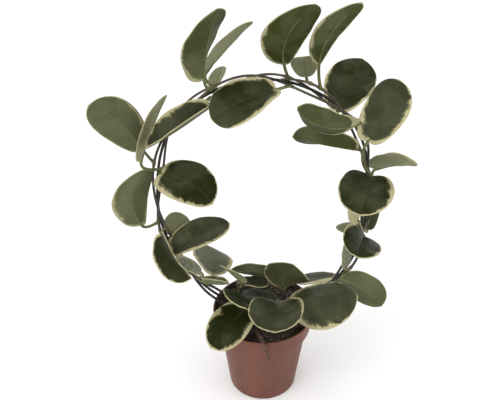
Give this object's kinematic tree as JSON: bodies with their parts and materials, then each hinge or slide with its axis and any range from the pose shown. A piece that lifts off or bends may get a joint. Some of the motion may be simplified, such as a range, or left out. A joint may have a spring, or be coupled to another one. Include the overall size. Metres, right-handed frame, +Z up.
{
  "type": "potted hoya plant",
  "caption": "Trailing house plant with thick cream-edged leaves, its stems wound round an upright wire hoop in a round plastic nursery pot of soil.",
  "frame": {"origin": "centre of the pot's flat underside", "axes": "+Z up along the pot's axis, +X along the hoop's width to the viewer's right, +Y to the back, square to the hoop"},
  "size_m": [0.3376, 0.1681, 0.5049],
  "materials": {
    "pot_plastic": "matt terracotta-coloured moulded plastic with light scuffs",
    "soil": "dark peat and bark crumbs",
    "wire": "dark coated wire",
    "stem": "thin brown stem with pale scars at its nodes",
    "dry_stem": "dry peeling bark",
    "leaf": "thick waxy leaf, dark green with a cream edge, paler and more matt below"
  },
  "bodies": {
    "root": {"pot": "pot_plastic", "soil": "soil", "wire_hoop": "wire", "vine_left_long": "stem", "vine_left_short": "stem", "vine_right_long": "stem", "vine_right_short": "stem", "shoot_left": "stem", "shoot_low": "stem", "shoot_front": "stem", "shoot_right": "stem", "dry_stem": "dry_stem", "leaf_top_1": "leaf", "leaf_top_2": "leaf", "leaf_top_3": "leaf", "leaf_top_4": "leaf", "leaf_top_5": "leaf", "leaf_top_6": "leaf", "leaf_top_7": "leaf", "leaf_right_1": "leaf", "leaf_right_2": "leaf", "leaf_right_3": "leaf", "leaf_right_4": "leaf", "leaf_right_5": "leaf", "leaf_right_6": "leaf", "leaf_right_7": "leaf", "leaf_right_8": "leaf", "leaf_right_9": "leaf", "leaf_right_10": "leaf", "leaf_right_11": "leaf", "leaf_left_1": "leaf", "leaf_left_2": "leaf", "leaf_left_3": "leaf", "leaf_left_4": "leaf", "leaf_left_5": "leaf", "leaf_left_6": "leaf", "leaf_left_7": "leaf", "leaf_left_8": "leaf", "leaf_low_1": "leaf", "leaf_low_2": "leaf", "leaf_low_3": "leaf", "leaf_low_4": "leaf", "leaf_low_5": "leaf", "leaf_low_6": "leaf", "leaf_low_7": "leaf", "leaf_low_8": "leaf", "leaf_low_9": "leaf", "leaf_low_10": "leaf", "leaf_low_11": "leaf", "leaf_low_12": "leaf", "leaf_low_13": "leaf", "leaf_low_14": "leaf"}
  },
  "joints": []
}
